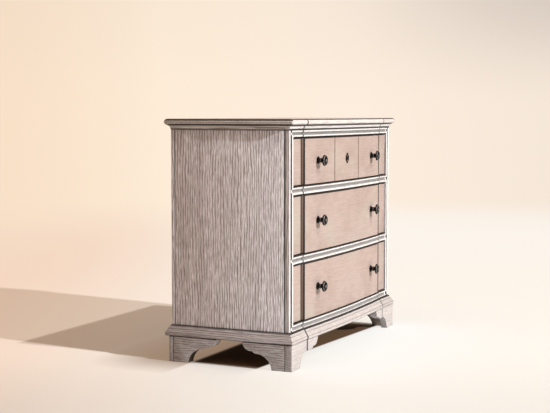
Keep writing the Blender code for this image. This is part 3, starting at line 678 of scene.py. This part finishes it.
# %% [markdown]
# The finishes differ in which way the grain runs: up the stiles and panels, along the rails and mouldings.
# The shift moves the pattern, so no two kinds of board show the same grain. The feet have a closer grain, and
# the backs of the far feet take a lighter brown painted shade than the near-black of the near ones.

# %% Mix the washed woods
STILE_FINISH = {"front_tones": RAIL_TONES, "side_tones": STILE_SIDE_TONES, "calm": 0.1}
TOP_FINISH = {"front_tones": TOP_TONES, "side_tones": NOSING_SIDE_TONES, "depth": 0.6}
COVE_FINISH = {"front_tones": FOOT_TONES, "side_tones": TOP_TONES, "threads": 110.0}
FOOT_FINISH = {"front_tones": FOOT_TONES, "side_tones": FOOT_SIDE_TONES}
NEAR_FOOT = {**FOOT_FINISH, "threads": 120.0, "run": 26.0, "back": "xy"}
FAR_FOOT = {**NEAR_FOOT, "back": "x", "back_shade": FAR_BACK_SHADE_COLOUR}

upright = washed_wood("washed_wood_upright", "zyx", 0.0, panel_marks, RAIL_TONES)
back_wood = washed_wood("washed_wood_back", "zxy", 4.4, panel_marks, RAIL_TONES)
stile = washed_wood("washed_wood_stile", "zyx", 3.7, stile_marks, **STILE_FINISH)
rail_wood = washed_wood("washed_wood_rail", "xzy", 1.3, rail_marks, RAIL_TONES, calm=0.15)
cove_front_wood = washed_wood("washed_wood_cove_front", "xzy", 8.1, break_marks, RAIL_TONES)
top_wood = washed_wood("washed_wood_top", "xyz", 9.4, top_marks, **TOP_FINISH)
front_wood = washed_wood("washed_wood_front", "xzy", 5.1, break_marks, back="y", **FOOT_FINISH)
base_front_wood = washed_wood("washed_wood_base_front", "xzy", 2.9, front_base_marks, **FOOT_FINISH)
base_wood = washed_wood("washed_wood_base", "yzx", 6.9, base_marks, **FOOT_FINISH)
cove_wood = washed_wood("washed_wood_cove", "yzx", 7.9, cove_marks, **COVE_FINISH)
foot_wood = washed_wood("washed_wood_foot", "yzx", 2.2, foot_marks, **NEAR_FOOT)
far_foot_wood = washed_wood("washed_wood_far_foot", "yzx", 3.3, foot_marks, **FAR_FOOT)
print("finishes so far:", len(bpy.data.materials))

# %% [markdown]
# ## The drawer fronts
# The drawers are a warmer, smoother wood than the frame, with a close grain that runs across them. Brown
# glaze and painted shade sit in the cove at each end of the raised field, blackest along its two edges, and
# in the two upright grooves of the top drawer. The gaps round each drawer are painted dark as shade.

# %% Drawer wood
DRAWER_PALE = (0.540, 0.425, 0.380)
DRAWER_MIDDLE = (0.435, 0.328, 0.283)
DRAWER_DEEP = (0.305, 0.205, 0.152)
DRAWER_WASH = (0.480, 0.440, 0.360)
DRAWER_THREADS = 150.0
DRAWER_RUN = 7.0
DRAWER_FIBRE_EDGE = (0.3, 0.7)
DRAWER_GROOVE_DEPTH = 0.36
CLOUD_SCALE = (7.0, 7.0, 9.0)
CLOUD_EDGE = (0.42, 0.72)
CLOUD_DEPTH = 0.32
DRAWER_BAND_EDGE = (0.5, 0.8)
DRAWER_BAND_DEPTH = 0.25
WASH_SCALE = (4.0, 4.0, 5.0)
WASH_SHIFT = 3.0
WASH_EDGE = (0.50, 0.72)
WASH_DEPTH = 0.42

drawer_wood, shader, (x, y, z) = finish("drawer_wood", roughness=0.5)
grooves, fibres, bands = grain(x, z, y, 0.0, DRAWER_THREADS, DRAWER_RUN)
cloud_x, cloud_y, cloud_z = (part * scale for part, scale in zip((x, y, z), CLOUD_SCALE))
clouds = vector(cloud_x, cloud_y, cloud_z).noise(detail=3.0, roughness=0.6)
wash_x, wash_y, wash_z = (part * scale for part, scale in zip((x, y, z), WASH_SCALE))
washes = vector(wash_x, wash_y, wash_z + WASH_SHIFT).noise(detail=2.0, roughness=0.5)
colour = fibres.rise(*DRAWER_FIBRE_EDGE).blend(DRAWER_MIDDLE, DRAWER_PALE)
colour = (grooves * DRAWER_GROOVE_DEPTH).blend(colour, DRAWER_DEEP)
colour = (clouds.rise(*CLOUD_EDGE) * CLOUD_DEPTH).blend(colour, DRAWER_DEEP)
colour = (bands.rise(*DRAWER_BAND_EDGE) * DRAWER_BAND_DEPTH).blend(colour, DRAWER_PALE)
bare_front = (washes.rise(*WASH_EDGE) * WASH_DEPTH).blend(colour, DRAWER_WASH)
print("drawer wood mixed")

# %% Glaze and painted shade on the drawers
DRAWER_GLAZE_AND_SHADE = (0.100, 0.050, 0.028)
GAP_SHADE_COLOUR = (0.150, 0.095, 0.062)
COVE_START = (FIELD_X - 0.001, FIELD_X + 0.0005)
COVE_END = (FIELD_FOOT_X + 0.001, FIELD_FOOT_X + 0.003)
COVE_DEPTH = 0.95
FIELD_LINE = FIELD_X + 0.0004
FIELD_LINE_HALF = 0.0030
FOOT_LINE = FIELD_FOOT_X + 0.0012
FOOT_LINE_HALF = 0.0046
RIGHT_EDGE_SHADE = FIELD_X - 0.0058
RIGHT_EDGE_SHADE_HALF = 0.0086
RIGHT_EDGE_SHADE_DEPTH = 0.92
PANEL_GROOVE_HALF = 0.0042
PANEL_GROOVE_DEPTH = 0.9
GROOVE_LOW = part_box("drawer_upper_front")[0].z
GROOVE_START = (GROOVE_LOW - 0.01, GROOVE_LOW)
DRAWER_HEAD_HALF = 0.0048
DRAWER_FOOT_HALF = 0.0018
DRAWER_ROUGHNESS = 0.48
CLOUD_ROUGHNESS = 0.12
DRAWER_FIBRE_RISE = 0.6
DRAWER_GROOVE_DROP = 0.3
DRAWER_RELIEF = 0.00025

# Painted shade with some glaze: the coves, the top drawer's grooves, the field's edges and the gaps round it.
reach = abs(x)
cove = reach.rise(*COVE_START) * (1 - reach.rise(*COVE_END))
colour = (cove * COVE_DEPTH).blend(bare_front, DRAWER_GLAZE_AND_SHADE)
groove = reach.line(PANEL_GROOVE_X, PANEL_GROOVE_HALF) * z.rise(*GROOVE_START)
colour = (groove * PANEL_GROOVE_DEPTH).blend(colour, DRAWER_GLAZE_AND_SHADE)
level_face = abs(facing(x)[2]).rise(*GAP_FACING)
colour = level_face.blend(colour, GAP_SHADE_COLOUR)
edges = reach.line(FIELD_LINE, FIELD_LINE_HALF).most(reach.line(FOOT_LINE, FOOT_LINE_HALF))
edges = edges.most(x.line(RIGHT_EDGE_SHADE, RIGHT_EDGE_SHADE_HALF) * RIGHT_EDGE_SHADE_DEPTH)
rims = near_levels(z, DRAWER_HEADS, DRAWER_HEAD_HALF).most(near_levels(z, DRAWER_FEET, DRAWER_FOOT_HALF))
dark = edges.most(rims) * (1 - level_face)
feed(shader, "Base Color", dark.blend(colour, GLAZE_AND_SHADE))
feed(shader, "Roughness", DRAWER_ROUGHNESS + clouds * CLOUD_ROUGHNESS)
relief(shader, fibres * DRAWER_FIBRE_RISE - grooves * DRAWER_GROOVE_DROP, DRAWER_RELIEF)
print("groove of the top drawer at", PANEL_GROOVE_X, "and above", round(GROOVE_LOW, 4))

# %% [markdown]
# ## Inside wood, bronze and steel
# The drawer boxes and the hidden boards are plain pale wood, left unwashed. The underside of the case is
# painted nearly black, a painted shade for the dark space under the chest.

# %% Inside wood
INSIDE_PALE = (0.72, 0.57, 0.41)
INSIDE_DEEP = (0.56, 0.40, 0.26)
INSIDE_THREADS = 70.0
INSIDE_RUN = 4.0
INSIDE_EDGE = (0.3, 0.7)
INSIDE_GROOVE_DEPTH = 0.35
FACES_DOWN = (0.7, 0.9)
UNDERSIDE_END = (0.16, 0.17)
INSIDE_RELIEF = 0.0002


def inside_wood(name, order, shift):
    """Plain wood for the drawer boxes and runners, its grain along the first letter of order."""
    material, shader, place = finish(name, roughness=0.6)
    z = place[2]
    grooves, fibres, bands = grain(*lettered(place, order), shift, INSIDE_THREADS, INSIDE_RUN)
    colour = (fibres * 0.5 + bands * 0.5).rise(*INSIDE_EDGE).blend(INSIDE_PALE, INSIDE_DEEP)
    colour = (grooves * INSIDE_GROOVE_DEPTH).blend(colour, INSIDE_DEEP)
    # Painted shade: faces that look down, low in the case, turn near-black.
    shade_below = (facing(z)[2] * -1.0).rise(*FACES_DOWN) * (1 - z.rise(*UNDERSIDE_END))
    feed(shader, "Base Color", shade_below.blend(colour, DARK_SHADE_COLOUR))
    relief(shader, fibres * 0.5 - grooves * 0.5, INSIDE_RELIEF)
    return material


inside_long = inside_wood("inside_wood_long", "xyz", 0.4)
inside_deep = inside_wood("inside_wood_deep", "yzx", 6.3)
print("inside woods:", inside_long.name, inside_deep.name)

# %% [markdown]
# The knobs and the keyhole plate are near-black bronze, turned grey where a point attribute named
# wear_and_highlight says so, partly as rubbed metal and partly as a painted highlight. An attribute travels
# with the mesh, so these places turn and move with each knob. The screws are bright steel with fine marks
# along their length.

# %% Bronze and steel
BRONZE_DARK = (0.006, 0.005, 0.005)
BRONZE_PATCH = (0.022, 0.017, 0.014)
BRONZE_WEAR_AND_HIGHLIGHT = (0.42, 0.38, 0.36)
BRONZE_GLOSS = 0.1
PATCHES_PER_METRE = 140.0
PATCH_EDGE = (0.45, 0.72)
WEAR_AND_HIGHLIGHT_LEAST = 0.5
WEAR_AND_HIGHLIGHT_PATCH = 0.6
BRONZE_ROUGHNESS = 0.28
PATCH_ROUGHNESS = 0.22
BRONZE_RELIEF = 0.00015
STEEL_COLOUR = (0.55, 0.55, 0.56)
STEEL_DARK = (0.38, 0.38, 0.40)
STEEL_FINE = 900.0
STEEL_LONG = 60.0
STEEL_RELIEF = 0.00005

bronze, shader, (x, y, z) = finish("dark_bronze", roughness=0.36, metallic=0.3)
shader.inputs["Specular IOR Level"].default_value = BRONZE_GLOSS
patches = vector(*(part * PATCHES_PER_METRE for part in (x, y, z))).noise(detail=3.0, roughness=0.6)
# Wear and painted highlight: grey metal where the attribute says so.
wear_and_highlight = patches.node("Attribute", {}, out="Fac", attribute_name="wear_and_highlight")
colour = patches.rise(*PATCH_EDGE).blend(BRONZE_DARK, BRONZE_PATCH)
feed(shader, "Base Color", (wear_and_highlight * (patches * WEAR_AND_HIGHLIGHT_PATCH + WEAR_AND_HIGHLIGHT_LEAST)).blend(colour, BRONZE_WEAR_AND_HIGHLIGHT))
feed(shader, "Roughness", BRONZE_ROUGHNESS + patches * PATCH_ROUGHNESS)
relief(shader, patches, BRONZE_RELIEF)

steel, shader, (x, y, z) = finish("screw_steel", roughness=0.35, metallic=1.0)
brushed = vector(x * STEEL_FINE, y * STEEL_LONG, z * STEEL_FINE).noise(detail=2.0, roughness=0.5)
feed(shader, "Base Color", brushed.blend(STEEL_COLOUR, STEEL_DARK))
relief(shader, brushed, STEEL_RELIEF)
print("finishes:", len(bpy.data.materials))

# %% [markdown]
# ## Easing the edges
# No board on a real chest has a knife edge: the joiner breaks each one with sandpaper, and the light catches
# it. Each board is copied, its loose triangles are merged into whole faces, and a narrow bevel rounds its
# edges. The copy then stands for the board.

# %% Ease the boards
EASE = 0.0009
EASE_SEGMENTS = 2
MERGE = 0.00001
FLAT_ANGLE = math.radians(0.15)
EDGE_ANGLE = math.radians(38)


def only(piece):
    """Selects one piece alone, in object mode."""
    bpy.ops.object.select_all(action="DESELECT")
    piece.select_set(True)
    bpy.context.view_layer.objects.active = piece


def dress(piece, finish_of_piece, slot, body, *stands_for):
    """Gives a piece its finish and lets it ride its body in place of the joiner's nodes. The slot is not
    used.
    """
    piece.data.materials.clear()
    piece.data.materials.append(finish_of_piece)
    if stands_for:
        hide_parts(*stands_for)
    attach(piece, body)


def eased(node, finish_of_piece, slot, body, ease=EASE):
    """A copy of a board with merged faces and rounded edges, which stands for the board."""
    piece = bpy.data.objects.new(node + "_eased", nodes[node].data.copy())
    bpy.context.scene.collection.objects.link(piece)
    only(piece)
    bpy.ops.mesh.customdata_custom_splitnormals_clear()
    bpy.ops.object.mode_set(mode="EDIT")
    bpy.ops.mesh.select_all(action="SELECT")
    bpy.ops.mesh.remove_doubles(threshold=MERGE)
    bpy.ops.mesh.dissolve_limited(angle_limit=FLAT_ANGLE)
    bpy.ops.object.mode_set(mode="OBJECT")
    bevel = piece.modifiers.new("eased_edges", "BEVEL")
    bevel.width = ease
    bevel.segments = EASE_SEGMENTS
    bevel.limit_method = "ANGLE"
    bevel.angle_limit = EDGE_ANGLE
    bpy.ops.object.modifier_apply(modifier=bevel.name)
    bpy.ops.object.shade_smooth_by_angle(angle=EDGE_ANGLE)
    dress(piece, finish_of_piece, slot, body, node)
    return piece


CASE_BOARDS = {
    "top_board": top_wood,
    "front_stile_left": stile,
    "front_stile_right": stile,
    "side_panel_left": upright,
    "side_panel_right": upright,
    "back_panel": back_wood,
    "cove_front": cove_front_wood,
    "base_moulding_front": base_front_wood,
    "bracket_front_left": front_wood,
    "bracket_front_right": front_wood,
    "cove_back": front_wood,
    "base_moulding_back": front_wood,
    "bracket_back_left": front_wood,
    "bracket_back_right": front_wood,
    "cove_left": cove_wood,
    "cove_right": cove_wood,
    "base_moulding_left": base_wood,
    "base_moulding_right": base_wood,
    "bracket_left_front": foot_wood,
    "bracket_left_back": foot_wood,
    "bracket_right_front": far_foot_wood,
    "bracket_right_back": far_foot_wood,
    **{rail: rail_wood for rail in RAILS},
}
for node, wood in CASE_BOARDS.items():
    eased(node, wood, "washed_wood", "case")
for level in DRAWERS:
    piece = eased(f"drawer_{level}_front", drawer_wood, "drawer_field", f"{level}_drawer")
    print(piece.name, len(piece.data.polygons), "faces")

# %% [markdown]
# The hidden boards keep the joiner's shapes and only change their finish.

# %% Finish the inside
def inside_finish(name):
    """The finish of a hidden board or a screw, by its name, and None for everything else."""
    if "_screw_" in name:
        return steel
    if name.startswith("drawer_") and name.endswith(("_back", "_bottom")):
        return inside_long
    if name.startswith("drawer_") and "_side_" in name:
        return inside_deep
    if name.startswith("runner_") or name == "bottom_board":
        return inside_deep
    return None


inner = {name: inside_finish(name) for name in nodes if inside_finish(name)}
for name, plain in inner.items():
    nodes[name].data.materials.clear()
    nodes[name].data.materials.append(plain)
print("hidden boards and screws:", len(inner))

# %% [markdown]
# ## Turned knobs
# A knob is turned on a lathe: a rosette against the drawer, a thin neck with a bead on it, and a round head
# with a hollow ring round a low boss. It grows here the way a lathe shapes it, ring after ring. Each step
# extrudes the ring outward and resizes it to the next radius. One knob is made and its mesh is copied for
# all six.

# %% Turn a knob
KNOB_SIDES = 48
KNOB_RINGS = [
    (0.0090, 0.0023), (0.0000, 0.0023), (0.0000, 0.0137), (0.0003, 0.0140), (0.0009, 0.0142),
    (0.0016, 0.0141), (0.0022, 0.0137), (0.0026, 0.0130), (0.0028, 0.0122), (0.0031, 0.0119),
    (0.0035, 0.0113), (0.0041, 0.0105), (0.0048, 0.0099), (0.0056, 0.0094), (0.0064, 0.0090),
    (0.0073, 0.0086), (0.0082, 0.0084), (0.0100, 0.0083), (0.0109, 0.0084), (0.0112, 0.0088),
    (0.0117, 0.0092), (0.0124, 0.0095), (0.0131, 0.0096), (0.0138, 0.0095), (0.0145, 0.0092),
    (0.0150, 0.0088), (0.0153, 0.0084), (0.0166, 0.0083), (0.0180, 0.0084), (0.0192, 0.0088),
    (0.0203, 0.0096), (0.0214, 0.0114), (0.0224, 0.0135), (0.0234, 0.0159), (0.0243, 0.0180),
    (0.0249, 0.0193), (0.0253, 0.0203), (0.0257, 0.0207), (0.0261, 0.0208), (0.0269, 0.0208),
    (0.0273, 0.0206), (0.0277, 0.0201), (0.0285, 0.0197), (0.0294, 0.0191), (0.0303, 0.0186),
    (0.0312, 0.0180), (0.0320, 0.0174), (0.0325, 0.0167), (0.0327, 0.0162), (0.0326, 0.0157),
    (0.0321, 0.0152), (0.0315, 0.0147), (0.0311, 0.0142), (0.0311, 0.0138), (0.0315, 0.0133),
    (0.0321, 0.0127), (0.0326, 0.0122), (0.0330, 0.0112), (0.0334, 0.0098), (0.0338, 0.0079),
    (0.0340, 0.0058), (0.0342, 0.0037), (0.0343, 0.0017),
]
HEAD_WEAR_AND_HIGHLIGHT = [(0.0164, 0.0183, 0.55), (0.0, 0.0052, 0.7)]
HEAD_BACK = 0.028
BEAD_WEAR_AND_HIGHLIGHT = (0.0116, 0.0146)
BEAD_WEAR_AND_HIGHLIGHT_STRENGTH = 0.45
KNOB_EDGE = math.radians(35)


def mark_wear_and_highlight(piece, weight):
    """Writes the point attribute named wear_and_highlight, from a function of a point."""
    values = [weight(vertex.co) for vertex in piece.data.vertices]
    piece.data.attributes.new("wear_and_highlight", "FLOAT", "POINT").data.foreach_set("value", values)


def knob_wear_and_highlight(point):
    """Wear and painted highlight on a knob: the neck's bead, a band on the head's face and the middle of its
    boss.
    """
    if BEAD_WEAR_AND_HIGHLIGHT[0] <= point.z <= BEAD_WEAR_AND_HIGHLIGHT[1]:
        return BEAD_WEAR_AND_HIGHLIGHT_STRENGTH
    if point.z <= HEAD_BACK:
        return 0.0
    radius = math.hypot(point.x, point.y)
    return max(share if low <= radius <= high else 0.0 for low, high, share in HEAD_WEAR_AND_HIGHLIGHT)


(low, radius), *later_rings = KNOB_RINGS
bpy.ops.object.select_all(action="DESELECT")
bpy.ops.mesh.primitive_circle_add(
    vertices=KNOB_SIDES, radius=radius, fill_type="NGON", location=(0, 0, low)
)
turned = bpy.context.object
bpy.ops.object.transform_apply(location=True)
bpy.ops.object.mode_set(mode="EDIT")
bpy.ops.mesh.select_all(action="SELECT")
for high, wide in later_rings:
    bpy.ops.mesh.extrude_region_move(TRANSFORM_OT_translate={"value": (0, 0, high - low)})
    bpy.ops.transform.resize(value=(wide / radius, wide / radius, 1), center_override=(0, 0, high))
    low, radius = high, wide
bpy.ops.mesh.select_all(action="SELECT")
bpy.ops.mesh.remove_doubles(threshold=MERGE)
bpy.ops.mesh.normals_make_consistent(inside=False)
bpy.ops.object.mode_set(mode="OBJECT")
bpy.ops.object.shade_smooth_by_angle(angle=KNOB_EDGE)
mark_wear_and_highlight(turned, knob_wear_and_highlight)
print("knob:", [round(v, 4) for v in turned.dimensions], len(turned.data.polygons), "faces")

# %% [markdown]
# Each knob sits square on the bowed field, so it leans a little to its own side. The slope of the bow at the
# knob's place gives the angle, and the joiner's knob gives the height.

# %% Place the knobs
KNOB_X = 0.2854
BOW_OUT = 0.0107
KNOB_GAP = 0.0003
BOW_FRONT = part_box("drawer_upper_front")[0].y

for level in DRAWERS:
    for side_name, side in (("left", -1), ("right", 1)):
        node = f"drawer_{level}_knob_{side_name}"
        low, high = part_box(node)
        back = BOW_FRONT + BOW_OUT * (KNOB_X / BREAK_X) ** 2 - KNOB_GAP
        lean = side * math.atan(2 * BOW_OUT * KNOB_X / BREAK_X**2)
        knob = bpy.data.objects.new(node + "_turned", turned.data.copy())
        bpy.context.scene.collection.objects.link(knob)
        place = Matrix.Translation((side * KNOB_X, back, (low.z + high.z) / 2))
        knob.data.transform(place @ Matrix.Rotation(lean, 4, "Z") @ Matrix.Rotation(math.pi / 2, 4, "X"))
        dress(knob, bronze, "dark_bronze", f"{level}_drawer", node)
        front = min(vertex.co.y for vertex in knob.data.vertices)
        print(node, "reaches", round(front, 4), "as the joiner's", round(low.y, 4))
bpy.data.objects.remove(turned)

# %% [markdown]
# ## The keyhole plate
# The plate keeps its sawn outline and its keyhole, with the edges filed round. Two pins with round heads hold
# it, one above the keyhole and one below. Their heads are grey, partly as wear and partly as a painted
# highlight.

# %% Keyhole plate
PLATE = "drawer_upper_keyhole_plate"
PLATE_EASE = 0.0004
PIN_RADIUS = 0.0024
PIN_HEIGHT_SHARE = 0.5
PIN_RISES = {"upper": 0.0085, "lower": -0.0105}
PIN_SEGMENTS = 16
PIN_RINGS = 8
PIN_WEAR_AND_HIGHLIGHT = 1.0

plate_low, plate_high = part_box(PLATE)
middle = (plate_low.z + plate_high.z) / 2
eased(PLATE, bronze, "dark_bronze", "upper_drawer", PLATE_EASE)
for name, rise in PIN_RISES.items():
    bpy.ops.object.select_all(action="DESELECT")
    bpy.ops.mesh.primitive_uv_sphere_add(segments=PIN_SEGMENTS, ring_count=PIN_RINGS, radius=PIN_RADIUS)
    pin = bpy.context.object
    pin.name = f"keyhole_plate_pin_{name}"
    pin.scale = (1, PIN_HEIGHT_SHARE, 1)
    pin.location = (0, plate_low.y, middle + rise)
    bpy.ops.object.transform_apply(location=True, scale=True)
    bpy.ops.object.shade_smooth()
    mark_wear_and_highlight(pin, lambda point: PIN_WEAR_AND_HIGHLIGHT)
    dress(pin, bronze, "dark_bronze", "upper_drawer")
print("plate dressed, middle at", round(middle, 4))
